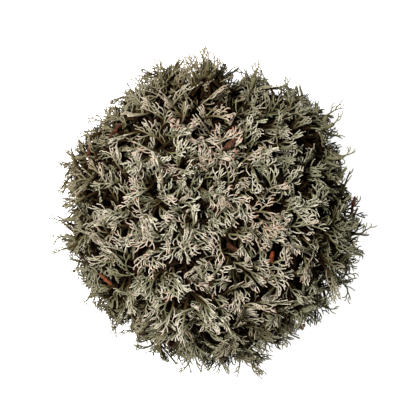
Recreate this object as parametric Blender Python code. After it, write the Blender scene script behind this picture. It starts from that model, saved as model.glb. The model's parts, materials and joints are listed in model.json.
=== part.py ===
"""A cushion of reindeer lichen, the pale, finely forked lichen that is sold as reindeer moss.

Fifty tufts stand side by side on a flat, cut underside and fan out into a low dome.
Scraps of dead leaf and bark are caught between their crowns.

Each tuft is modelled upright in a layout space and then bent into the dome. A point of that
space is (u, v, t): (u, v) is a place on a disc of radius 1 that every tuft shares a cell of,
and t runs from 0 at the cut underside to 1 at the outside of the dome.

Metres, +Z up, the origin under the middle of the cushion on the surface that it stands on.
"""

import math
import random

import bmesh
import bpy
from mathutils import Matrix, Vector

MM = 0.001

# The cushion as a whole
DOME_RADIUS = 51.0 * MM  # without its lobes and stray sprigs
DOME_HEIGHT = 57.0 * MM
WIDEST_HEIGHT = 18.0 * MM  # how high above the ground the cushion is widest
UNDERCUT_HEIGHT = 26.0 * MM  # half height of the ellipsoid that the skirt curls in along
SKIRT_ANGLE = math.radians(118)  # where the skirt ends, measured from straight up
FOOT_RADIUS = 34.0 * MM  # the cut underside

# Where the outline bulges or is notched: azimuth and half width in degrees, and reach
LOBES = (
    (45, 10, 3.5 * MM),
    (80, 8, -3.0 * MM),
    (100, 14, 3.5 * MM),
    (160, 8, 1.5 * MM),
    (180, 6, -3.0 * MM),
    (192, 6, 2.0 * MM),
    (243, 12, -2.0 * MM),
    (273, 13, 2.5 * MM),
    (15, 16, -2.0 * MM),
)

# Sprigs that stand out of the outline: azimuth in degrees and how far they go past it
STRAYS = (
    (39, 3.5 * MM),
    (72, 4.0 * MM),
    (92, 2.5 * MM),
    (122, 1.5 * MM),
    (191, 3.0 * MM),
    (214, 3.0 * MM),
    (260, 2.0 * MM),
    (284, 4.0 * MM),
    (332, 4.5 * MM),
    (352, 3.5 * MM),
)
STRAY_WIDTH = 5  # half width in degrees
STRAY_BAND = (0.70, 0.94)  # of the disc, where stray sprigs stand

# The crowns lean down the dome, away from a whorl left of the middle and behind it
LEAN = 0.26
WHORL_SHIFT = Vector((0.06, -0.07))

# Dark hollows between the crowns: x, y, half width and depth
HOLLOWS = (
    (8 * MM, -12 * MM, 5 * MM, 9 * MM),
    (33 * MM, 14 * MM, 7 * MM, 8 * MM),
    (2 * MM, 31 * MM, 5 * MM, 6 * MM),
    (14 * MM, -3 * MM, 4 * MM, 6 * MM),
    (-9 * MM, 1 * MM, 4 * MM, 5 * MM),
    (-26 * MM, 33 * MM, 5 * MM, 6 * MM),
    (17 * MM, -27 * MM, 5 * MM, 6 * MM),
    (-12 * MM, -22 * MM, 4 * MM, 5 * MM),
)

# One tuft
TUFTS = 50
GOLDEN_ANGLE = math.pi * (3 - math.sqrt(5))
OUTERMOST = 0.945  # of the disc, where the last tuft has its middle
SIDES = 7
CELL_GAP = 0.010  # of the disc, between a tuft and the edge of its cell
STEM_RINGS = ((0.0, 0.56), (0.28, 0.44), (0.52, 0.60), (0.70, 0.92))  # height, share of the cell
CROWN_RING = (0.82, 0.70)
CROWN_MIDDLE = 0.86
OUTER_FINGERS = (0.985, 0.98, 0.46)  # height, share of the cell, share of their root's width
INNER_FINGERS = (1.0, 0.56, 0.52)
FINGER_JITTER = 0.05  # of the height, from finger to finger
TUFT_JITTER = 0.022  # of the height, from tuft to tuft
RING_SHARE = (0.92, 1.0)  # how much of its share of the cell a corner takes

# One scrap of litter: name, place, length, width, thickness, depth under the tips, turn about
# its face's direction and curl. A place at the outline has a height of its own.
SCRAPS = (
    ("bark_strip_1", (-42.6, 21.7, 30.0), 5.2, 1.5, 0.5, 0.5, 39, 0.5),
    ("bark_strip_2", (-33.6, 28.6, None), 6.4, 1.4, 0.5, 1.0, 14, 0.4),
    ("bark_strip_3", (48.8, 2.8, 24.0), 7.0, 1.2, 0.5, 0.5, 0, 0.4),
    ("bark_flake_1", (19.8, -14.1, None), 3.8, 1.5, 0.5, 0.8, 38, 0.3),
    ("bark_flake_2", (31.6, -39.4, 20.0), 3.8, 2.0, 0.5, 0.5, 66, 0.4),
    ("leaf_scrap_1", (5.9, 23.5, None), 5.6, 2.0, 0.4, 0.8, 59, 0.6),
    ("leaf_scrap_2", (7.1, -11.7, None), 4.6, 1.8, 0.4, 3.5, -59, 0.6),
    ("leaf_scrap_3", (-14.8, -45.6, 20.0), 4.6, 2.2, 0.4, 0.5, 3, 0.7),
    ("twig_1", (-36.4, -22.1, None), 6.0, 1.1, 0.9, 0.6, 30, 0.2),
)
SCRAP_LEAN = 0.8  # a scrap lies flatter than the dome under it: how far its face leans upwards
SCRAP_CLEARANCE = 0.6 * MM

LICHEN_COLOUR = (0.29, 0.28, 0.20, 1.0)
BARK_COLOUR = (0.16, 0.055, 0.02, 1.0)
LEAF_COLOUR = (0.24, 0.11, 0.05, 1.0)


def clear_scene():
    for obj in list(bpy.data.objects):
        bpy.data.objects.remove(obj)


def new_collection(name):
    collection = bpy.data.collections.new(name)
    bpy.context.scene.collection.children.link(collection)
    return collection


def new_material(name, colour, roughness):
    material = bpy.data.materials.new(name)
    material.use_nodes = True
    shader = material.node_tree.nodes["Principled BSDF"]
    shader.inputs["Base Color"].default_value = colour
    shader.inputs["Roughness"].default_value = roughness
    shader.inputs["Metallic"].default_value = 0.0
    return material


def new_object(name, bm, collection, material=None):
    mesh = bpy.data.meshes.new(name)
    bm.to_mesh(mesh)
    bm.free()
    obj = bpy.data.objects.new(name, mesh)
    collection.objects.link(obj)
    if material:
        mesh.materials.append(material)
    return obj


def bump(distance, half_width):
    """1 at no distance, falling smoothly to 0 at twice the half width."""
    share = min(1.0, distance / (2 * half_width))
    return 0.5 + 0.5 * math.cos(math.pi * share)


def outline_radius(azimuth):
    """The dome's radius on its widest level, seen in this direction."""
    radius = DOME_RADIUS
    for middle, half_width, reach in LOBES:
        apart = abs((math.degrees(azimuth) - middle + 180) % 360 - 180)
        radius += reach * bump(apart, half_width)
    return radius


def on_dome(place):
    """The outside of the dome over a place on the layout disc."""
    share = min(place.length, 1.2)
    azimuth = math.atan2(place.y, place.x)
    rise = 1 - (1 - math.cos(SKIRT_ANGLE)) * share * share
    angle = math.acos(max(-1.0, min(1.0, rise)))
    # The lobes belong to the sides, and fade out towards the top
    radius = DOME_RADIUS + (outline_radius(azimuth) - DOME_RADIUS) * min(1.0, share) ** 2
    half_height = DOME_HEIGHT - WIDEST_HEIGHT if rise > 0 else UNDERCUT_HEIGHT
    return Vector((
        radius * math.sin(angle) * math.cos(azimuth),
        radius * math.sin(angle) * math.sin(azimuth),
        WIDEST_HEIGHT + half_height * rise,
    ))


def in_dome(point):
    """Bends a point of the layout space into the cushion."""
    place = point.xy
    foot = (place * FOOT_RADIUS).to_3d()
    inside = 1 - min(1.0, place.length_squared)
    leaning = place + point.z**3 * inside * (LEAN * place + WHORL_SHIFT)
    return foot.lerp(on_dome(leaning), point.z)


def stray_reach(place):
    """How much further a finger goes at a place on the disc, for the stray sprigs."""
    if not STRAY_BAND[0] < place.length < STRAY_BAND[1]:
        return 0.0
    azimuth = math.degrees(math.atan2(place.y, place.x))
    reach = 0.0
    for middle, most in STRAYS:
        apart = abs((azimuth - middle + 180) % 360 - 180)
        reach = max(reach, most * bump(apart, STRAY_WIDTH))
    return reach / DOME_RADIUS


def tuft_places():
    """A sunflower's spiral, which spaces the tufts evenly over the disc."""
    places = []
    for i in range(TUFTS):
        reach = OUTERMOST * math.sqrt((i + 0.5) / (TUFTS - 0.5))
        turn = i * GOLDEN_ANGLE
        places.append(Vector((reach * math.cos(turn), reach * math.sin(turn))))
    return places


class Cell:
    """The part of the layout disc that is nearer to one tuft than to any other."""

    def __init__(self, middle, others):
        self.middle = middle
        self.walls = []
        for other in others:
            apart = other - middle
            self.walls.append((apart.normalized(), apart.length / 2 - CELL_GAP))

    def reach(self, direction):
        """How far the cell goes from its middle in a direction."""
        found = self.to_rim(direction)
        for normal, distance in self.walls:
            facing = direction.dot(normal)
            if facing > 1e-6:
                found = min(found, distance / facing)
        return found

    def to_rim(self, direction):
        along = self.middle.dot(direction)
        return -along + math.sqrt(along * along + 1 - self.middle.length_squared)

    def hold(self, place):
        """The place, drawn towards the cell's middle if it lies outside the cell."""
        out = place - self.middle
        if out.length < 1e-9:
            return place
        return self.middle + out.normalized() * min(out.length, self.reach(out.normalized()))


def set_ring(face, cell, lift, ring, rng):
    """Moves a face's corners to a ring's height and to its share of the way to the cell's edge."""
    height, share = ring
    for vert in face.verts:
        direction = (vert.co.xy - cell.middle).normalized()
        out = cell.middle + direction * cell.reach(direction) * share * rng.uniform(*RING_SHARE)
        vert.co = (out.x, out.y, height + lift)


def grow_tuft(cell, lift, rng):
    """One tuft in layout space: a stem that widens to a crown of blunt fingers."""
    bm = bmesh.new()
    turn = Matrix.Rotation(rng.uniform(0, 2 * math.pi), 4, "Z")
    upright = Matrix.Translation(cell.middle.to_3d()) @ turn
    bmesh.ops.create_cone(
        bm, cap_ends=True, segments=SIDES, radius1=1, radius2=1, depth=1, matrix=upright
    )
    caps = [face for face in bm.faces if len(face.verts) == SIDES]
    foot, top = sorted(caps, key=lambda face: face.calc_center_median().z)
    set_ring(foot, cell, 0, STEM_RINGS[0], rng)
    set_ring(top, cell, 0, STEM_RINGS[1], rng)
    for ring in STEM_RINGS[2:] + (CROWN_RING,):
        before = set(bm.faces)
        top = bmesh.ops.extrude_discrete_faces(bm, faces=[top])["faces"][0]
        set_ring(top, cell, lift, ring, rng)
        sides = [face for face in bm.faces if face not in before and face is not top]
    middle = bmesh.ops.poke(bm, faces=[top])
    middle["verts"][0].co = (cell.middle.x, cell.middle.y, CROWN_MIDDLE + lift)
    grow_fingers(bm, cell, sides, *OUTER_FINGERS, lift, rng)
    grow_fingers(bm, cell, middle["faces"], *INNER_FINGERS, lift, rng)
    return bm


def grow_fingers(bm, cell, roots, height, share, width, lift, rng):
    """Blunt fingers, one out of each root face, that spread to their share of the cell."""
    for tip in bmesh.ops.extrude_discrete_faces(bm, faces=roots)["faces"]:
        root = tip.calc_center_median()
        out = Vector((root.x, root.y)) - cell.middle
        direction = out.normalized()
        end = cell.middle + direction * cell.reach(direction) * share
        top = height + lift + rng.uniform(-FINGER_JITTER, FINGER_JITTER) + stray_reach(end)
        for vert in tip.verts:
            spread = (vert.co - root) * width
            held = cell.hold(Vector((end.x + spread.x, end.y + spread.y)))
            vert.co = (held.x, held.y, top + spread.z)


def hollow_depth(point):
    """How far the crowns are sunk at a point, to leave the dark hollows."""
    depth = 0.0
    for x, y, half_width, most in HOLLOWS:
        apart = math.hypot(point.x - x, point.y - y)
        depth = max(depth, most * bump(apart, half_width))
    return depth


def bend_tuft(bm):
    """Moves a tuft's points from the layout space into the cushion."""
    for vert in bm.verts:
        placed = in_dome(vert.co)
        if vert.co.z > STEM_RINGS[-1][0]:
            vert.co.z -= hollow_depth(placed) / DOME_HEIGHT
            placed = in_dome(vert.co)
        vert.co = placed


def make_tufts(collection, material):
    places = tuft_places()
    tufts = []
    for i, place in enumerate(places):
        rng = random.Random(1000 + i)
        cell = Cell(place, places[:i] + places[i + 1:])
        lift = rng.uniform(-TUFT_JITTER, TUFT_JITTER)
        bm = grow_tuft(cell, lift, rng)
        bend_tuft(bm)
        bmesh.ops.triangulate(bm, faces=[f for f in bm.faces if len(f.verts) == 4])
        tufts.append(new_object(f"tuft_{i + 1:02d}", bm, collection, material))
    return tufts


def surface_height(x, y):
    """How high the dome's outside is over a point of the ground."""
    radius = outline_radius(math.atan2(y, x))
    share = min(1.0, math.hypot(x, y) / radius)
    return WIDEST_HEIGHT + (DOME_HEIGHT - WIDEST_HEIGHT) * math.sqrt(1 - share * share)


def scrap_frame(place, depth, turn):
    """Where a scrap lies: its own Z is the dome's outward direction there, leaned upwards."""
    x, y, z = place
    spot = Vector((x * MM, y * MM, surface_height(x * MM, y * MM) if z is None else z * MM))
    centre = Vector((0, 0, WIDEST_HEIGHT))
    outward = spot - centre
    outward.z *= DOME_RADIUS / (DOME_HEIGHT - WIDEST_HEIGHT)
    outward.normalize()
    spot -= outward * depth * MM
    face = (outward + Vector((0, 0, SCRAP_LEAN))).normalized()
    across = Vector((0, 0, 1)).cross(face).normalized()
    up = face.cross(across)
    facing = Matrix((across, up, face)).transposed().to_4x4()
    return Matrix.Translation(spot) @ facing @ Matrix.Rotation(math.radians(turn), 4, "Z")


def make_scrap(name, place, length, width, thickness, depth, turn, curl, collection, material, rng):
    """A torn, curled flake: a small grid, narrowed to ragged ends, curled and thickened."""
    bm = bmesh.new()
    bmesh.ops.create_grid(bm, x_segments=5, y_segments=2, size=0.5)
    for vert in bm.verts:
        along, across = vert.co.x, vert.co.y
        narrow = (1 - 0.55 * (2 * abs(along)) ** 2) * rng.uniform(0.82, 1.1)
        rise = curl * width * (math.cos(math.pi * across * 0.9) - 0.6) * 0.5
        rise += 0.15 * length * math.sin(2.4 * along)
        vert.co = Vector((along * length, across * narrow * width, rise)) * MM
    bmesh.ops.solidify(bm, geom=bm.faces[:], thickness=thickness * MM)
    bmesh.ops.recalc_face_normals(bm, faces=bm.faces)
    bmesh.ops.triangulate(bm, faces=bm.faces)
    scrap = new_object(name, bm, collection, material)
    scrap.matrix_world = scrap_frame(place, depth, turn)
    return scrap


def make_cutter(scrap, collection):
    """A block around a scrap, which keeps the tufts clear of it."""
    corners = [Vector(corner) for corner in scrap.bound_box]
    low = Vector(min(c[axis] for c in corners) for axis in range(3))
    high = Vector(max(c[axis] for c in corners) for axis in range(3))
    size = high - low + Vector((2, 2, 2)) * SCRAP_CLEARANCE
    bm = bmesh.new()
    bmesh.ops.create_cube(bm, size=1, matrix=Matrix.Diagonal((*size, 1)))
    bmesh.ops.translate(bm, verts=bm.verts, vec=(low + high) / 2)
    cutter = new_object("around_" + scrap.name, bm, collection)
    cutter.matrix_world = scrap.matrix_world.copy()
    cutter.hide_render = True
    cutter.display_type = "WIRE"
    return cutter


def world_box(obj):
    points = [obj.matrix_world @ Vector(corner) for corner in obj.bound_box]
    low = Vector(min(p[axis] for p in points) for axis in range(3))
    high = Vector(max(p[axis] for p in points) for axis in range(3))
    return low, high


def boxes_meet(first, second):
    return all(
        first[0][axis] < second[1][axis] and second[0][axis] < first[1][axis] for axis in range(3)
    )


def cut_clear(tufts, cutters):
    """Cuts each tuft clear of the scraps that lie in its crown."""
    for cutter in cutters:
        around = world_box(cutter)
        for tuft in tufts:
            if not boxes_meet(around, world_box(tuft)):
                continue
            cut = tuft.modifiers.new("clear of " + cutter.name, "BOOLEAN")
            cut.operation = "DIFFERENCE"
            cut.object = cutter


def centre_over_origin(objects):
    """Moves everything so that the middle of the whole cushion stands over the origin."""
    bpy.context.view_layer.update()
    made = bpy.context.evaluated_depsgraph_get()
    boxes = [world_box(obj.evaluated_get(made)) for obj in objects if not obj.hide_render]
    middle = Vector((
        (min(low.x for low, high in boxes) + max(high.x for low, high in boxes)) / 2,
        (min(low.y for low, high in boxes) + max(high.y for low, high in boxes)) / 2,
        0,
    ))
    for obj in objects:
        obj.matrix_world = Matrix.Translation(-middle) @ obj.matrix_world


def main():
    clear_scene()
    parts = new_collection("reindeer_lichen_clump")
    helpers = new_collection("cutters")
    lichen = new_material("pale grey-green lichen", LICHEN_COLOUR, 0.9)
    bark = new_material("dead bark", BARK_COLOUR, 0.85)
    leaf = new_material("dead leaf", LEAF_COLOUR, 0.75)
    tufts = make_tufts(parts, lichen)
    cutters = []
    for i, scrap in enumerate(SCRAPS):
        material = leaf if scrap[0].startswith("leaf") else bark
        made = make_scrap(*scrap, parts, material, random.Random(500 + i))
        bpy.context.view_layer.update()
        cutters.append(make_cutter(made, helpers))
    bpy.context.view_layer.update()
    cut_clear(tufts, cutters)
    centre_over_origin([*parts.objects, *helpers.objects])


main()
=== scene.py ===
"""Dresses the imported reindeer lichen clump: every tuft gets its forked, antler-like branches."""

import math
import random

import bmesh
import bpy
import numpy as np
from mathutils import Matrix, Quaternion, Vector, noise
from mathutils.bvhtree import BVHTree
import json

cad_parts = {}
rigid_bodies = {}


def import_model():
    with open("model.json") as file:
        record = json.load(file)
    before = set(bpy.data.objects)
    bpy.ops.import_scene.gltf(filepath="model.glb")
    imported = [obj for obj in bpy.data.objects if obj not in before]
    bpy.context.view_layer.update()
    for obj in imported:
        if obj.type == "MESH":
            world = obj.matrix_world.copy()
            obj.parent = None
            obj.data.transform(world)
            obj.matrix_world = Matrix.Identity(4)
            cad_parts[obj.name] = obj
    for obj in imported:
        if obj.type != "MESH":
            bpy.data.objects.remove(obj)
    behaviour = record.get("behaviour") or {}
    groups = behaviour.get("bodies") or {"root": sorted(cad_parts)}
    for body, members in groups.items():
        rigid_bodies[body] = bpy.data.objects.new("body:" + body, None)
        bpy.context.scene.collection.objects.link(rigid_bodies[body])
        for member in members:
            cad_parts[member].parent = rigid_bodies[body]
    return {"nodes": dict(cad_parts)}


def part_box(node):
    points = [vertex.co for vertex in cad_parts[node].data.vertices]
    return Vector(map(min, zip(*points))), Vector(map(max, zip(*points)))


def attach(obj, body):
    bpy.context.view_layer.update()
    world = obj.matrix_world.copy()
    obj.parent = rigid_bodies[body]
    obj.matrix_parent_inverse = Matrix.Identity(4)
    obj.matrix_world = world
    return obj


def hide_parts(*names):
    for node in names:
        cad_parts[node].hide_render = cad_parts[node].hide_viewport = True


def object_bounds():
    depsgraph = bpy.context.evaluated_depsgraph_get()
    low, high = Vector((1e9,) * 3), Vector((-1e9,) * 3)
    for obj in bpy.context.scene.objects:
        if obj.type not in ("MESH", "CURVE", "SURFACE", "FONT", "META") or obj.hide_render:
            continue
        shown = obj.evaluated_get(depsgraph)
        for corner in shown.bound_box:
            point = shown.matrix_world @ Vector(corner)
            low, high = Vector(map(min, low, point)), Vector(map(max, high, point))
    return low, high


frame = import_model()
CAD_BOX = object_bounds()

bl_info = {
    "name": "Reindeer Lichen Clump",
    "version": (1, 0, 0),
    "blender": (4, 5, 0),
    "location": "3D View > Sidebar > Lichen",
    "description": "Grows a cushion of finely forked reindeer lichen over its tufts",
    "category": "Object",
}

MM = 0.001

TUFTS = sorted(name for name in frame["nodes"] if name.startswith("tuft_"))
LITTER = sorted(name for name in frame["nodes"] if not name.startswith("tuft_"))
LOW, HIGH = (Vector(corner) for corner in CAD_BOX)

# The dome that the crowns make, as an ellipsoid over its widest level and a flatter one under it
WIDEST_HEIGHT = 0.30 * HIGH.z
DOME_RADIUS = 0.245 * (HIGH.x - LOW.x + HIGH.y - LOW.y)
TOP_HALF_HEIGHT = 0.97 * HIGH.z - WIDEST_HEIGHT
UNDERCUT_HALF_HEIGHT = 26 * MM

GOLDEN_ANGLE = math.pi * (3 - math.sqrt(5))

# The part of the UV map's width that the ages take up, which leaves room for the painted shade on the
# undersides
AGE_START, AGE_SPAN = 0.24, 0.73

# Painted shade: how much darker the underside of a branch is painted than its upper side, for each unit that
# it turns away from the outside of the clump
PAINTED_UNDERSIDE_SHADE = 0.18

# How far over the table a branch stays at least, and a head
GROUND_GAP = 1 * MM
LOWEST_HEAD = 3 * MM

# Where the tips spread from, seen from above
WHORL = Vector((-7 * MM, 8 * MM, 0))

# The side on which the tips are browned, seen from above
BROWN_SIDE = Vector((-0.8, 0.6, 0))

# Sprigs that stand out of the clump's edge: azimuth in degrees, reach and height in mm, nodes, and
# how sharply the stem bends
STRAYS = (
    (90, 54.5, 36, 4, -0.30), (94, 54.5, 32, 4, 0.30), (91, 56.0, 38, 3, 0.10), (97, 53.0, 34, 4, 0.20),
    (92, 55.5, 34, 4, 0.05), (96, 53.0, 38, 3, -0.20), (88, 54.0, 30, 3, 0.25), (122, 51.5, 34, 4, 0.60),
    (118, 52.5, 32, 3, 0.30), (72, 55.0, 30, 3, 0.05), (40, 58.0, 28, 3, -0.15), (36, 56.0, 32, 2, 0.40),
    (23, 53.5, 30, 2, 0.50), (352, 56.5, 26, 3, 0.60), (346, 55.0, 24, 2, -0.50), (332, 57.5, 24, 3, -0.60),
    (321, 56.0, 24, 2, 0.50), (300, 52.0, 22, 2, 0.40), (293, 52.0, 26, 2, 0.20), (285, 58.5, 24, 3, 0.40),
    (281, 57.0, 20, 2, -0.50), (274, 56.0, 22, 3, 0.30), (267, 55.0, 20, 2, 0.50), (262, 56.5, 24, 3, -0.40),
    (257, 54.0, 20, 2, 0.60), (240, 53.0, 20, 2, 0.30), (215, 54.5, 26, 2, 0.20), (194, 56.0, 28, 3, -0.20),
    (189, 55.5, 24, 2, 0.40), (183, 55.0, 26, 2, -0.30), (170, 53.5, 30, 2, 0.40), (158, 54.5, 28, 2, -0.30),
    (148, 53.5, 26, 2, 0.50), (140, 53.5, 30, 3, 0.10), (110, 54.0, 32, 2, 0.30),
)


# Hollows in the clump's outline: azimuth and half width in degrees, and depth in mm
DENTS = ((20, 16, 3.0), (80, 9, 3.0), (180, 8, 2.0), (300, 9, 1.0))


def from_hex(code):
    """An sRGB hex colour as the linear numbers that Blender's nodes use."""
    parts = [int(code[i:i + 2], 16) / 255 for i in (1, 3, 5)]
    return tuple(p / 12.92 if p <= 0.04045 else ((p + 0.055) / 1.055) ** 2.4 for p in parts)


def length_property(name, description, default):
    return bpy.props.FloatProperty(
        name=name, description=description, default=default, min=0, unit="LENGTH", precision=5
    )


def colour_property(name, description, code):
    return bpy.props.FloatVectorProperty(
        name=name, description=description, default=from_hex(code), subtype="COLOR", min=0, max=1
    )


class LichenSizes(bpy.types.PropertyGroup):
    heads: bpy.props.IntProperty(name="Heads", description="Heads of sprays in the crown", default=315)
    rim_crowding: bpy.props.FloatProperty(
        name="Rim crowding", description="How much closer the heads stand round the rim", default=0.9
    )
    head_depth: length_property("Head depth", "How deep under the dome the sprays of a head start", 7 * MM)
    sprays: bpy.props.IntProperty(name="Sprays", description="Sprays of a head", default=3)
    prong_radius: length_property("Prong radius", "Prongs at their root", 0.22 * MM)
    tip_radius: length_property("Tip radius", "Prongs at their end", 0.165 * MM)
    thickening: bpy.props.FloatProperty(
        name="Thickening", description="How much thicker a stem is one node further down", default=1.2
    )
    prong_length: length_property("Prong length", "From the last node to the tip", 1.9 * MM)
    node_spacing: length_property("Node spacing", "Between the last two nodes", 1.35 * MM)
    finger_stretch: bpy.props.FloatProperty(
        name="Finger stretch", description="How much longer a finger is for each node above it", default=0.35
    )
    hook: bpy.props.FloatProperty(
        name="Hook", description="How much sharper a prong bends than the stem under it", default=2.9
    )
    lengthening: bpy.props.FloatProperty(
        name="Lengthening", description="How much longer a stem is one node further down", default=1.19
    )
    trunk_radius: length_property("Trunk radius", "Thickest main stem", 0.90 * MM)
    living_length: length_property("Living length", "From the tips to the dead stem", 24 * MM)
    # Painted shade: below the lit depth the crown is painted darker, as extra age, the deeper it lies, and
    # again the lower it lies under the skirt height
    lit_depth: length_property("Lit depth", "How deep under the crown the daylight reaches", 1.5 * MM)
    shading: bpy.props.FloatProperty(
        name="Shading", description="How much faster a stem ages for each length it lies deeper", default=1.7
    )
    skirt_height: length_property("Skirt height", "Under this height the crown is shaded and older", 48 * MM)
    painted_skirt_shade: bpy.props.FloatProperty(
        name="Skirt shading", description="How much older the skirt is, the lower it lies", default=0.23
    )
    dead_twig_shade_fill: bpy.props.IntProperty(
        name="Dead twigs", description="Twigs left on the dead stems of a tuft", default=170
    )
    dead_length: length_property("Dead twig length", "Twigs on the dead stems", 10.0 * MM)
    tear_spacing: length_property("Tear spacing", "Between splinters of the litter", 0.9 * MM)
    tear_depth: length_property("Tear depth", "How far a splinter stands out", 0.35 * MM)


class LichenColours(bpy.types.PropertyGroup):
    dead: colour_property("Dead base", "Rotten stem near the ground", "#1C1003")
    old: colour_property("Old stem", "Darkened stem under the crown", "#3B2F17")
    stem: colour_property("Stem", "Living stem", "#6D6C52")
    twig: colour_property("Twig", "Twigs near the tips", "#94907C")
    prong: colour_property("Prong", "Prongs", "#D2CBBC")
    tip: colour_property("Tip", "The very ends", "#A86E58")


class StageSettings(bpy.types.PropertyGroup):
    floor: colour_property("Floor", "The pale table", "#F7F6F4")
    camera_height: length_property("Camera height", "Above the widest level", 0.62)


def dome_point(point):
    """A point in units of the dome: its length is 1 on the dome's outside."""
    up = point.z - WIDEST_HEIGHT
    half = TOP_HALF_HEIGHT if up > 0 else UNDERCUT_HALF_HEIGHT
    return Vector((point.x / DOME_RADIUS, point.y / DOME_RADIUS, up / half))


def dome_normal(point):
    scaled = dome_point(point)
    half = TOP_HALF_HEIGHT if scaled.z > 0 else UNDERCUT_HALF_HEIGHT
    normal = Vector((scaled.x / DOME_RADIUS, scaled.y / DOME_RADIUS, scaled.z / half))
    return normal.normalized() if normal.length else Vector((0, 0, 1))


def along_surface(direction, normal):
    flat = direction - normal * direction.dot(normal)
    return flat.normalized() if flat.length > 1e-9 else normal.orthogonal().normalized()


def turned(direction, axis, angle):
    return Quaternion(axis, angle) @ direction


class Skeleton:
    """The centre lines of a tuft's branches: a mesh of edges with what each point knows."""

    def __init__(self):
        self.bm = bmesh.new()
        layers = self.bm.verts.layers.float
        self.thickness = layers.new("thickness")
        self.age_and_shade = layers.new("age_and_shade")
        self.tint = layers.new("tint")

    def branch(self, points, radii, ages_and_shade, tint):
        before = None
        for point, radius, age_and_shade in zip(points, radii, ages_and_shade):
            vert = self.bm.verts.new(point)
            vert[self.thickness] = radius
            vert[self.age_and_shade] = age_and_shade
            vert[self.tint] = tint
            if before:
                self.bm.edges.new((before, vert))
            before = vert

    def mesh(self, name):
        mesh = bpy.data.meshes.new(name)
        self.bm.to_mesh(mesh)
        self.bm.free()
        return mesh


def bend(start, start_way, end, end_way, count):
    """Points of a smooth curve that leaves start and reaches end in the given directions."""
    reach = (end - start).length
    points = []
    for i in range(count + 1):
        t = i / count
        a = start + start_way * reach * 0.36
        b = end - end_way * reach * 0.36
        u = 1 - t
        points.append(u**3 * start + 3 * u * u * t * a + 3 * u * t * t * b + t**3 * end)
    return points


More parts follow.
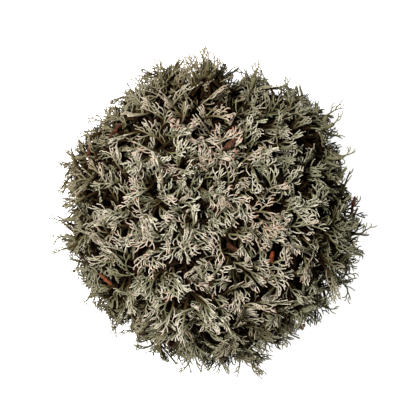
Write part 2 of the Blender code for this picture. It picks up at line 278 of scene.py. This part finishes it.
class Grower:
    """Grows one tuft's branches into a skeleton."""

    def __init__(self, sizes, seed, clearings):
        self.sizes = sizes
        self.rng = random.Random(seed)
        self.skeleton = Skeleton()
        self.stems = []
        self.clearings = clearings

    def age_at(self, left):
        """1 at the tips, near 0 where the stem is dead, from the length left to the tips."""
        spent = left / self.sizes.living_length
        return 1 - spent if spent < 0.9 else 0.09 / spent

    def length_at(self, left):
        """How long a stem runs before its next node, or to its end when none is left."""
        sizes = self.sizes
        return sizes.node_spacing * sizes.lengthening ** (left - 1) if left else sizes.prong_length

    def radius_at(self, left):
        return self.sizes.prong_radius * self.sizes.thickening**left

    def reach_of(self, nodes):
        return sum(self.length_at(left) for left in range(nodes + 1))

    def wander(self, direction, amount):
        rng = self.rng
        shift = Vector((rng.gauss(0, 1), rng.gauss(0, 1), rng.gauss(0, 1))) * amount
        return (direction + shift).normalized()

    def axis(self, start, way, flat, hand, arc, nodes, curl, tint, stretch):
        """A stem that gives off a finger or a smaller stem at every node, mostly to the same side."""
        rng, sizes = self.rng, self.sizes
        points, radii = [start], [self.radius_at(nodes)]
        ages_and_shade = [self.age_with_painted_shade(start, self.reach_of(nodes))]
        for left in range(nodes, -1, -1):
            length = self.length_at(left) * rng.uniform(0.7, 1.3)
            if left == nodes:
                length *= stretch
            first_radius = radii[-1]
            end_radius = self.radius_at(left - 1) if left else sizes.tip_radius
            steps = 3 if left == nodes else 2
            turn = arc if left else arc * sizes.hook
            if self.blocked(points[-1] + way * length):
                break
            for step in range(1, steps + 1):
                share = step / steps
                point = points[-1] + way * length / steps
                point.z = max(point.z, GROUND_GAP)
                points.append(point)
                radii.append(first_radius + (end_radius - first_radius) * share)
                ages_and_shade.append(self.age_with_painted_shade(points[-1], self.reach_of(left) - self.length_at(left) * share))
                way = self.wander(turned(way, flat, turn / steps).lerp(curl, 0.05), 0.03)
            if left:
                side_nodes = min(left - 1, rng.choice((0, 0, 0, 1, 1, 2, 2)))
                side_flat = turned(flat, way, rng.gauss(0, 0.35))
                side_way = turned(way, side_flat, hand * rng.uniform(0.6, 1.05))
                side_hand = hand if rng.random() < 0.6 else -hand
                side_arc = -hand * rng.uniform(0.25, 0.75)
                side_stretch = 1 + sizes.finger_stretch * left / (side_nodes + 1)
                self.axis(
                    points[-1], side_way, side_flat, side_hand, side_arc, side_nodes, curl, tint, side_stretch
                )
                way = turned(way, flat, -hand * rng.uniform(0.0, 0.25))
                hand = -hand if rng.random() < 0.18 else hand
        if len(points) > 1:
            self.skeleton.branch(points, radii, ages_and_shade, tint)

    def blocked(self, point):
        """Whether a branch would run into the ground or hide a scrap of litter there."""
        return point.z < GROUND_GAP or any(
            (point.xy - middle.xy).length < radius and point.z > middle.z - 1 * MM
            for middle, radius in self.clearings
        )

    def age_with_painted_shade(self, point, left):
        """The age of a point with painted shade added as extra age: darker the deeper it lies under the crown
        and the lower it lies in the skirt.
        """
        sizes = self.sizes
        depth = max(0.0, self.level - point.dot(self.normal) - sizes.lit_depth)
        skirt = max(0.0, sizes.skirt_height - point.z)
        return self.age_at(left + depth * sizes.shading + skirt * sizes.painted_skirt_shade)

    def head(self, centre, normal, sweep, depth, tint):
        """The end of a stem, from which sprays lean out over the clump."""
        rng = self.rng
        count = self.sizes.sprays + rng.choice((0, 0, 1))
        self.normal = normal
        self.level = centre.dot(normal) + depth
        for k in range(count):
            azimuth = math.radians(220) * ((k + rng.uniform(0.15, 0.85)) / count - 0.5)
            side = turned(sweep, normal, azimuth)
            nodes = rng.choice((4, 5, 5, 5, 6) if centre.z > 32 * MM else (3, 4, 4, 5))
            lift = math.asin(min(0.9, rng.uniform(0.75, 1.3) * depth / self.reach_of(nodes)))
            way = side * math.cos(lift) + normal * math.sin(lift)
            curl = (side + normal * rng.uniform(-0.4, 1.2)).normalized()
            hand, arc = rng.choice((-1, 1)), rng.gauss(0, 0.24)
            self.axis(centre, way, along_surface(normal, way), hand, arc, nodes, curl, tint, 1.6)
        return self.reach_of(6) + depth * self.sizes.shading

    def stray(self, azimuth, reach, height, nodes, arc, tint):
        """A single sprig that stands out over the edge."""
        out = Vector((math.cos(math.radians(azimuth)), math.sin(math.radians(azimuth)), 0))
        length = self.reach_of(nodes)
        start = out * (reach * MM - length) + Vector((0, 0, height * MM))
        self.normal = dome_normal(start)
        self.level = start.dot(self.normal)
        self.axis(start, out, Vector((0, 0, 1)), self.rng.choice((-1, 1)), arc, nodes, out, tint, 1)
        return start, out, length

    def dead_twig_shade_fill(self, count):
        """Bare dead twigs left on the old stems, painted at half their stem's age: they fill the inside of
        the clump as dark matter, partly real dead stems and partly painted shade.
        """
        sizes, rng = self.sizes, self.rng
        for _ in range(count):
            points, ages_and_shade = self.stems[int(len(self.stems) * rng.random() ** 1.6)]
            at = rng.randrange(len(points))
            way = (points[-1] - points[0]).normalized()
            across = turned(way.orthogonal().normalized(), way, rng.uniform(0, 2 * math.pi))
            way = (way * rng.uniform(0.0, 0.8) + across).normalized()
            start, length = points[at].copy(), sizes.dead_length * rng.uniform(0.6, 1.4)
            start.z = max(start.z, GROUND_GAP)
            inward = Vector((-start.x, -start.y, 0)).normalized()
            while dome_point(start + way * length).length > 0.9 and length > 1 * MM:
                way = (way + inward * 0.5).normalized()
                length *= 0.8
            end = start + way * length
            end.z = max(end.z, GROUND_GAP)
            radius, age_and_shade = self.radius_at(6), ages_and_shade[at] * 0.5
            self.skeleton.branch((start, end), (radius, radius * 0.7), (age_and_shade, age_and_shade * 0.8), 0.4)

    def trunk(self, start, way, roots, tint):
        """Joins the heads of a tuft to its foot, forking towards ever smaller groups."""
        rng = self.rng
        if len(roots) == 1:
            end, end_way, left = roots[0]
            self.stem(start, way, end, end_way, 1, left, tint)
            return left + (end - start).length
        groups = self.split(roots)
        middle = sum((root[0] for root in roots), Vector()) / len(roots)
        share = 0.62 if len(roots) > 4 else 0.5
        fork_at = start.lerp(middle, share)
        fork_way = self.wander((middle - start).normalized(), 0.10)
        left = max(root[2] + (root[0] - fork_at).length for root in roots)
        self.stem(start, way, fork_at, fork_way, len(roots), left, tint)
        for group in groups:
            aim = sum((root[0] for root in group), Vector()) / len(group)
            new_way = (fork_way * 0.6 + (aim - fork_at).normalized()).normalized()
            self.trunk(fork_at, new_way, group, tint)

    def stem(self, start, way, end, end_way, carried, left, tint):
        reach = (end - start).length
        steps = max(3, round(reach / (3.0 * MM)))
        sizes = self.sizes
        points = bend(start, way, end, end_way, steps)
        for point in points:
            point.z = max(point.z, min(start.z, end.z))
        wide = min(sizes.trunk_radius, self.radius_at(7) * carried**0.28)
        radii = [wide] * (steps + 1)
        ages_and_shade = [self.age_at(left + reach * (1 - i / steps)) for i in range(steps + 1)]
        self.skeleton.branch(points, radii, ages_and_shade, tint)
        self.stems.append((points, ages_and_shade))

    def split(self, roots):
        """Parts the roots into two groups by the plane between their two outermost ones."""
        far = max(
            ((a, b) for i, a in enumerate(roots) for b in roots[i + 1:]),
            key=lambda pair: (pair[0][0] - pair[1][0]).length,
        )
        first, second = [], []
        for root in roots:
            near = (root[0] - far[0][0]).length < (root[0] - far[1][0]).length
            (first if near else second).append(root)
        return first, second


def crown_radii():
    """Every corner of the tufts' solids, as a direction and a distance from the dome's middle."""
    middle = Vector((0, 0, WIDEST_HEIGHT))
    found = []
    for node in TUFTS:
        for vert in bpy.data.objects[node].data.vertices:
            out = vert.co - middle
            if vert.co.z > GROUND_GAP:
                found.append((*out.normalized(), out.length))
    return np.array(found)


def crown_distance(direction, corners):
    """How far the crowns reach from the dome's middle in a direction."""
    near = corners[:, :3] @ np.array(direction) > math.cos(math.radians(10))
    return float(np.percentile(corners[near, 3], 80)) if near.any() else DOME_RADIUS


def dent_depth(direction):
    """How far the crown stays back there, from its hollows."""
    azimuth = math.degrees(math.atan2(direction.y, direction.x)) % 360
    away = [(abs((azimuth - middle + 180) % 360 - 180) / half, depth) for middle, half, depth in DENTS]
    return sum(depth * math.exp(-distance**2) for distance, depth in away)


def crown_targets(sizes, rng):
    """Where the heads stand: a spiral over the dome, closer set round the rim."""
    corners = crown_radii()
    heights = np.linspace(1, math.cos(math.radians(114)), 100)
    crowding = 1 + sizes.rim_crowding * np.exp(-((heights / 0.3) ** 2))
    filled = np.cumsum(crowding) / crowding.sum()
    targets = []
    for k in range(sizes.heads):
        height = float(np.interp((k + 0.5) / sizes.heads, filled, heights))
        turn = k * GOLDEN_ANGLE + rng.gauss(0, 0.06)
        flat = math.sqrt(max(0.0, 1 - height * height))
        direction = Vector((flat * math.cos(turn), flat * math.sin(turn), height))
        reach = crown_distance(direction, corners) + rng.gauss(-0.8, 1.0) * MM
        reach -= dent_depth(direction) * flat**3 * MM
        targets.append(Vector((0, 0, WIDEST_HEIGHT)) + direction * reach)
    return targets


def share_out(targets):
    """Gives each tuft the targets that are nearest to its solid."""
    trees = {}
    for node in TUFTS:
        mesh = bpy.data.objects[node].data
        trees[node] = BVHTree.FromPolygons([v.co for v in mesh.vertices], [p.vertices for p in mesh.polygons])
    shares = {node: [] for node in TUFTS}
    for target in targets:
        nearest = min(TUFTS, key=lambda node: trees[node].find_nearest(target)[3])
        shares[nearest].append(target)
    for node in TUFTS:
        if not shares[node]:
            verts = [v.co for v in bpy.data.objects[node].data.vertices]
            outermost = max(verts, key=lambda co: dome_point(co).length)
            shares[node].append(outermost.copy())
    return shares


def share_strays(shares):
    """Gives each stray sprig to the tuft that has the nearest head."""
    strays = {node: [] for node in TUFTS}
    for stray in STRAYS:
        turn = math.radians(stray[0])
        root = Vector((math.cos(turn) * stray[1], math.sin(turn) * stray[1], stray[2])) * MM
        nearest = min(TUFTS, key=lambda node: min((target - root).length for target in shares[node]))
        strays[nearest].append(stray)
    return strays


def litter_clearings():
    """Where the litter lies bare, so that no branch grows over it."""
    clearings = []
    for node in LITTER:
        low, high = (Vector(corner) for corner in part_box(node))
        size = high - low
        clearings.append(((low + high) / 2, 0.26 * (size.x + size.y)))
    return clearings


def foot_middle(node):
    verts = [v.co for v in bpy.data.objects[node].data.vertices if v.co.z < 0.1 * MM]
    return sum(verts, Vector()) / len(verts)


def grow_tuft(node, targets, strays, seed, sizes):
    grower = Grower(sizes, seed, litter_clearings())
    rng = grower.rng
    foot = foot_middle(node)
    crown = sum(targets, Vector()) / len(targets)
    normal = dome_normal(crown)
    downhill = along_surface(crown - WHORL - Vector((0, 0, crown.z)), normal)
    sweep = turned(downhill, normal, rng.gauss(0, math.radians(25)))
    tint = 0.52 + rng.gauss(0, 0.07) - 0.22 * max(0.0, crown.dot(BROWN_SIDE)) / DOME_RADIUS
    roots = []
    for target in targets:
        own = tint + rng.gauss(0, 0.07) if rng.random() < 0.92 else rng.uniform(0.05, 0.95)
        own_sweep = turned(sweep, normal, rng.gauss(0, math.radians(30)))
        up = dome_normal(target)
        low = target.z < 34 * MM
        depth = sizes.head_depth * rng.uniform(0.85, 1.2) * (0.72 if low else 1)
        centre = target - up * depth - own_sweep * (2 if low else 4) * MM
        centre.z = max(centre.z, LOWEST_HEAD)
        left = grower.head(centre, up, along_surface(own_sweep, up), depth, own)
        roots.append((centre, (up + own_sweep * 0.2).normalized(), left))
        if rng.random() < (0.8 if low else 0.4):
            lower = centre - up * 6 * MM + grower.wander(up, 0.6) * 2 * MM
            lower.z = max(lower.z, LOWEST_HEAD)
            own_sweep = turned(own_sweep, up, rng.uniform(1.5, 4.5))
            left = grower.head(lower, up, along_surface(own_sweep, up), depth + 6 * MM, own)
            roots.append((lower, up, left))
    for stray in strays:
        roots.append(grower.stray(*stray, tint))
    up = Vector((0, 0, 1))
    neck = foot + up * 2 * MM
    grower.stem(foot, up, neck, up, len(roots), sizes.living_length, tint)
    grower.trunk(neck, ((crown - foot).normalized() + up * 0.6).normalized(), roots, tint)
    grower.dead_twig_shade_fill(sizes.dead_twig_shade_fill)
    return grower


def add_node(tree, kind, settings=None, links=None):
    """Adds a node, sets its properties and sockets, and links sockets of other nodes to it."""
    node = tree.nodes.new(kind)
    for name, value in (settings or {}).items():
        if isinstance(name, str) and hasattr(node, name):
            setattr(node, name, value)
        else:
            node.inputs[name].default_value = value
    for name, socket in (links or {}).items():
        tree.links.new(socket, node.inputs[name])
    return node


def tube_tree(sides):
    """Turns a skeleton into round branches, with age, painted shade and tint as their UV map."""
    tree = bpy.data.node_groups.new("round branches", "GeometryNodeTree")
    tree.interface.new_socket("Geometry", in_out="INPUT", socket_type="NodeSocketGeometry")
    tree.interface.new_socket("Geometry", in_out="OUTPUT", socket_type="NodeSocketGeometry")
    came = add_node(tree, "NodeGroupInput")
    curve = add_node(tree, "GeometryNodeMeshToCurve", links={"Mesh": came.outputs[0]})
    thickness = add_node(tree, "GeometryNodeInputNamedAttribute", {"Name": "thickness"})
    age_and_shade = add_node(tree, "GeometryNodeInputNamedAttribute", {"Name": "age_and_shade"})
    tint = add_node(tree, "GeometryNodeInputNamedAttribute", {"Name": "tint"})
    ring = add_node(tree, "GeometryNodeCurvePrimitiveCircle", {"Resolution": sides, "Radius": 1.0})
    spot = add_node(tree, "GeometryNodeInputPosition")
    marked = add_node(
        tree, "GeometryNodeStoreNamedAttribute",
        {"data_type": "FLOAT_VECTOR", "domain": "POINT", "Name": "around"},
        {"Geometry": ring.outputs[0], "Value": spot.outputs[0]},
    )
    tubes = add_node(
        tree, "GeometryNodeCurveToMesh", {"Fill Caps": True},
        {"Curve": curve.outputs[0], "Profile Curve": marked.outputs[0], "Scale": thickness.outputs[0]},
    )
    around = add_node(
        tree, "GeometryNodeInputNamedAttribute", {"data_type": "FLOAT_VECTOR", "Name": "around"}
    )
    apart = add_node(tree, "ShaderNodeSeparateXYZ", links={0: around.outputs[0]})
    # Painted light and shade: the side of a branch that faces out of the clump is painted lighter, and its
    # underside darker
    place = add_node(tree, "GeometryNodeInputPosition")
    normal = add_node(tree, "GeometryNodeInputNormal")
    out = add_node(
        tree, "ShaderNodeVectorMath", {"operation": "SUBTRACT", 1: (0, 0, WIDEST_HEIGHT - 30 * MM)},
        {0: place.outputs[0]},
    )
    out = add_node(tree, "ShaderNodeVectorMath", {"operation": "NORMALIZE"}, {0: out.outputs[0]})
    facing = add_node(
        tree, "ShaderNodeVectorMath", {"operation": "DOT_PRODUCT"}, {0: out.outputs[0], 1: normal.outputs[0]}
    )
    shaded = add_node(
        tree, "ShaderNodeMath", {"operation": "SUBTRACT", 1: 0.8}, {0: facing.outputs["Value"]}
    )
    painted_shade_and_age = add_node(
        tree, "ShaderNodeMath", {"operation": "MULTIPLY_ADD", 1: PAINTED_UNDERSIDE_SHADE},
        {0: shaded.outputs[0], 2: age_and_shade.outputs[0]},
    )
    u = add_node(
        tree, "ShaderNodeMath", {"operation": "MULTIPLY_ADD", 1: AGE_SPAN, 2: AGE_START},
        {0: painted_shade_and_age.outputs[0]},
    )
    v = add_node(
        tree, "ShaderNodeMath", {"operation": "MULTIPLY_ADD", 1: 0.012},
        {0: apart.outputs[1], 2: tint.outputs[0]},
    )
    uv = add_node(tree, "ShaderNodeCombineXYZ", links={0: u.outputs[0], 1: v.outputs[0]})
    mapped = add_node(
        tree, "GeometryNodeStoreNamedAttribute",
        {"data_type": "FLOAT2", "domain": "CORNER", "Name": "OFBake"},
        {"Geometry": tubes.outputs[0], "Value": uv.outputs[0]},
    )
    smooth = add_node(tree, "GeometryNodeSetShadeSmooth", links={0: mapped.outputs[0]})
    add_node(tree, "NodeGroupOutput", links={0: smooth.outputs[0]})
    return tree


def make_branches(name, skeleton, tree, material):
    """A tuft's finished mesh: the tubes round its skeleton."""
    mesh = skeleton.mesh(name + "_lines")
    lines = bpy.data.objects.new(name + "_lines", mesh)
    bpy.context.scene.collection.objects.link(lines)
    modifier = lines.modifiers.new("round branches", "NODES")
    modifier.node_group = tree
    bpy.context.view_layer.update()
    made = lines.evaluated_get(bpy.context.evaluated_depsgraph_get())
    solid = bpy.data.meshes.new_from_object(made)
    solid.name = name
    bpy.data.objects.remove(lines)
    bpy.data.meshes.remove(mesh)
    for spare in ("thickness", "age_and_shade", "tint", "around"):
        if spare in solid.attributes:
            solid.attributes.remove(solid.attributes[spare])
    solid.materials.clear()
    solid.materials.append(material)
    obj = bpy.data.objects.new(name, solid)
    bpy.context.scene.collection.objects.link(obj)
    return obj


def lichen_cortex(colours):
    """Reindeer lichen has no bark: a matt, felted skin, so no gloss at all."""
    material = bpy.data.materials.new("matt lichen cortex")
    material.use_nodes = True
    tree = material.node_tree
    shader = tree.nodes["Principled BSDF"]
    shader.inputs["Roughness"].default_value = 0.9
    shader.inputs["Specular IOR Level"].default_value = 0.08
    place = add_node(tree, "ShaderNodeUVMap", {"uv_map": "OFBake"})
    apart = add_node(tree, "ShaderNodeSeparateXYZ", links={0: place.outputs[0]})
    ramp = add_node(tree, "ShaderNodeValToRGB", links={0: apart.outputs[0]})
    # The ramp runs from the dead base to the prongs; its u holds the age together with painted shade, so the
    # old and dead colours also paint the shade deep under the crown, in the skirt and on the undersides
    stops = (
        (0.0, colours.dead), (0.15, colours.dead), (0.40, colours.old), (0.64, colours.stem),
        (0.84, colours.twig), (0.94, colours.prong), (1.0, colours.prong),
    )
    elements = ramp.color_ramp.elements
    while len(elements) < len(stops):
        elements.new(0.5)
    for element, (position, colour) in zip(elements, stops):
        element.position = AGE_START + AGE_SPAN * position
        element.color = (*colour, 1)
    hue = add_node(tree, "ShaderNodeValToRGB", links={0: apart.outputs[1]})
    tints = ((0.0, "#EAD5C9"), (0.3, "#F0E4DC"), (0.5, "#EEEBE6"), (0.75, "#E3E6D8"), (1.0, "#CED6B6"))
    elements = hue.color_ramp.elements
    while len(elements) < len(tints):
        elements.new(0.5)
    for element, (position, code) in zip(elements, tints):
        element.position = position
        element.color = (*from_hex(code), 1)
    # The last millimetre is browned, on the sprays whose tint lies on the brown side
    end = add_node(
        tree, "ShaderNodeMapRange",
        {"From Min": AGE_START + AGE_SPAN * 0.95, "From Max": AGE_START + AGE_SPAN * 0.98},
        {0: apart.outputs[0]},
    )
    browned = add_node(
        tree, "ShaderNodeMapRange", {"From Min": 0.60, "From Max": 0.46}, {0: apart.outputs[1]}
    )
    both = add_node(
        tree, "ShaderNodeMath", {"operation": "MULTIPLY"}, {0: end.outputs[0], 1: browned.outputs[0]}
    )
    tipped = add_node(
        tree, "ShaderNodeMix", {"data_type": "RGBA", 7: (*colours.tip, 1)}, {0: both.outputs[0]}
    )
    tree.links.new(ramp.outputs[0], tipped.inputs[6])
    mixed = add_node(
        tree, "ShaderNodeMix", {"data_type": "RGBA", "blend_type": "MULTIPLY", "Factor": 1.0},
    )
    tree.links.new(tipped.outputs[2], mixed.inputs[6])
    tree.links.new(hue.outputs[0], mixed.inputs[7])
    tree.links.new(mixed.outputs[2], shader.inputs["Base Color"])
    return material


class LICHEN_OT_tufts(bpy.types.Operator):
    """Grow the branches of every tuft"""

    bl_idname = "lichen.tufts"
    bl_label = "Grow tufts"

    def execute(self, context):
        sizes = context.scene.lichen_sizes
        tree = tube_tree(5)
        material = lichen_cortex(context.scene.lichen_colours)
        shares = share_out(crown_targets(sizes, random.Random(11)))
        strays = share_strays(shares)
        for seed, node in enumerate(TUFTS):
            grower = grow_tuft(node, shares[node], strays[node], seed, sizes)
            obj = make_branches(node + "_branches", grower.skeleton, tree, material)
            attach(obj, "root")
            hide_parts(node)
        return {"FINISHED"}


def torn_piece(node, sizes):
    """The scrap's own form with a torn, splintered surface and a ragged edge."""
    bm = bmesh.new()
    bm.from_mesh(bpy.data.objects[node].data)
    bmesh.ops.remove_doubles(bm, verts=bm.verts, dist=0.01 * MM)
    bmesh.ops.subdivide_edges(bm, edges=bm.edges[:], cuts=3, use_grid_fill=True)
    bmesh.ops.smooth_vert(bm, verts=bm.verts, factor=0.5, use_axis_x=True, use_axis_y=True, use_axis_z=True)
    for vert in bm.verts:
        vert.co += noise.noise_vector(vert.co / sizes.tear_spacing) * sizes.tear_depth
    mesh = bpy.data.meshes.new(node + "_torn")
    bm.to_mesh(mesh)
    bm.free()
    mesh.shade_smooth()
    obj = bpy.data.objects.new(node + "_torn", mesh)
    bpy.context.scene.collection.objects.link(obj)
    return obj


def weathered(name, dark, light, grain, stretch):
    """Dead plant matter: dull, blotched by rot, with a fibrous grain that roughens it."""
    material = bpy.data.materials.new(name)
    material.use_nodes = True
    tree = material.node_tree
    shader = tree.nodes["Principled BSDF"]
    shader.inputs["Roughness"].default_value = 0.8
    shader.inputs["Specular IOR Level"].default_value = 0.15
    place = add_node(tree, "ShaderNodeTexCoord")
    along = add_node(tree, "ShaderNodeMapping", {"Scale": stretch}, {"Vector": place.outputs["Object"]})
    fibre = add_node(
        tree, "ShaderNodeTexNoise", {"Scale": 1 / grain, "Detail": 5.0, "Roughness": 0.6},
        {"Vector": along.outputs[0]},
    )
    ramp = add_node(tree, "ShaderNodeValToRGB", links={0: fibre.outputs["Fac"]})
    ramp.color_ramp.elements[0].position = 0.35
    ramp.color_ramp.elements[0].color = (*from_hex(dark), 1)
    ramp.color_ramp.elements[1].position = 0.65
    ramp.color_ramp.elements[1].color = (*from_hex(light), 1)
    bump = add_node(
        tree, "ShaderNodeBump", {"Strength": 0.6, "Distance": 0.15 * MM}, {"Height": fibre.outputs["Fac"]}
    )
    tree.links.new(ramp.outputs[0], shader.inputs["Base Color"])
    tree.links.new(bump.outputs[0], shader.inputs["Normal"])
    return material


class LICHEN_OT_litter(bpy.types.Operator):
    """Tear the bark, leaf and twig scraps that are caught between the tufts"""

    bl_idname = "lichen.litter"
    bl_label = "Lay litter"

    def execute(self, context):
        sizes = context.scene.lichen_sizes
        grain = 0.9 * MM
        outer = weathered("pine bark, outer side", "#26120A", "#5A2F1A", grain, (1, 1, 0.3))
        inner = weathered("pine bark, inner side", "#46190A", "#8C4218", grain, (0.4, 1, 1))
        dry = weathered("dry twig bark", "#3A1A0C", "#7C3F20", grain, (0.4, 1, 1))
        leaf = weathered("dry birch leaf", "#26130B", "#63402C", grain, (1, 1, 1))
        rotten = weathered("rotten birch leaf", "#140A05", "#4A2A12", grain, (1, 1, 1))
        finishes = {
            "bark_strip_1": outer, "bark_strip_2": outer, "bark_strip_3": outer, "bark_flake_1": inner,
            "bark_flake_2": inner, "twig_1": dry, "leaf_scrap_2": rotten,
        }
        for node in LITTER:
            obj = torn_piece(node, sizes)
            obj.data.materials.append(finishes.get(node, leaf))
            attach(obj, "root")
            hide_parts(node)
        return {"FINISHED"}


class LICHEN_OT_stage(bpy.types.Operator):
    """Set up the pale table, the soft light and the camera overhead"""

    bl_idname = "lichen.stage"
    bl_label = "Set the stage"

    def execute(self, context):
        settings = context.scene.lichen_stage
        bm = bmesh.new()
        bmesh.ops.create_grid(bm, x_segments=1, y_segments=1, size=2)
        mesh = bpy.data.meshes.new("table")
        bm.to_mesh(mesh)
        bm.free()
        floor = bpy.data.objects.new("table", mesh)
        context.scene.collection.objects.link(floor)
        material = bpy.data.materials.new("white acrylic sheet")
        material.use_nodes = True
        shader = material.node_tree.nodes["Principled BSDF"]
        shader.inputs["Base Color"].default_value = (*settings.floor, 1)
        shader.inputs["Roughness"].default_value = 0.8
        shader.inputs["Emission Color"].default_value = (1, 1, 1, 1)
        shader.inputs["Emission Strength"].default_value = 0.95
        mesh.materials.append(material)
        world = bpy.data.worlds.new("studio")
        context.scene.world = world
        world.use_nodes = True
        tree = world.node_tree
        direction = add_node(tree, "ShaderNodeTexCoord")
        apart = add_node(tree, "ShaderNodeSeparateXYZ", links={0: direction.outputs["Generated"]})
        # A pale wall round the table, and a dim ceiling that keeps the gaps of the clump dark
        wall = add_node(tree, "ShaderNodeValToRGB", links={0: apart.outputs["Z"]})
        wall.color_ramp.elements[0].position = 0.12
        wall.color_ramp.elements[0].color = (0.5, 0.5, 0.5, 1)
        wall.color_ramp.elements[1].position = 0.35
        wall.color_ramp.elements[1].color = (0.05, 0.05, 0.05, 1)
        tree.links.new(wall.outputs[0], tree.nodes["Background"].inputs["Color"])
        self.lamp(context, "key", (-0.42, 0.14, 0.90), 0.18, 19.0)
        self.lamp(context, "fill", (0.6, -0.5, 0.7), 0.6, 1.0)
        self.camera(context, settings)
        context.scene.view_settings.view_transform = "Standard"
        return {"FINISHED"}

    def lamp(self, context, name, place, size, power):
        light = bpy.data.lights.new(name, "AREA")
        light.size = size
        light.energy = power
        lamp = bpy.data.objects.new(name, light)
        lamp.location = place
        lamp.rotation_euler = (-Vector(place)).to_track_quat("-Z", "Y").to_euler()
        context.scene.collection.objects.link(lamp)

    def camera(self, context, settings):
        camera = bpy.data.cameras.new("overhead")
        eye = bpy.data.objects.new("overhead", camera)
        frame_width = 145.2 * MM
        camera.sensor_width = 36
        camera.lens = camera.sensor_width * settings.camera_height / frame_width
        eye.location = (-0.2 * MM, 1.0 * MM, WIDEST_HEIGHT + settings.camera_height)
        context.scene.collection.objects.link(eye)
        context.scene.camera = eye


class LICHEN_PT_panel(bpy.types.Panel):
    bl_idname = "LICHEN_PT_panel"
    bl_label = "Reindeer lichen"
    bl_space_type = "VIEW_3D"
    bl_region_type = "UI"
    bl_category = "Lichen"

    def draw(self, context):
        for operator in OPERATORS:
            self.layout.operator(operator.bl_idname)


GROUPS = {"lichen_sizes": LichenSizes, "lichen_colours": LichenColours, "lichen_stage": StageSettings}
OPERATORS = (LICHEN_OT_stage, LICHEN_OT_tufts, LICHEN_OT_litter)
CLASSES = (*GROUPS.values(), *OPERATORS, LICHEN_PT_panel)


def register():
    for cls in CLASSES:
        bpy.utils.register_class(cls)
    for name, group in GROUPS.items():
        setattr(bpy.types.Scene, name, bpy.props.PointerProperty(type=group))


def unregister():
    for name in GROUPS:
        delattr(bpy.types.Scene, name)
    for cls in reversed(CLASSES):
        bpy.utils.unregister_class(cls)


def main():
    register()
    bpy.ops.lichen.stage()
    bpy.ops.lichen.tufts()
    bpy.ops.lichen.litter()


if __name__ == "__main__":
    main()
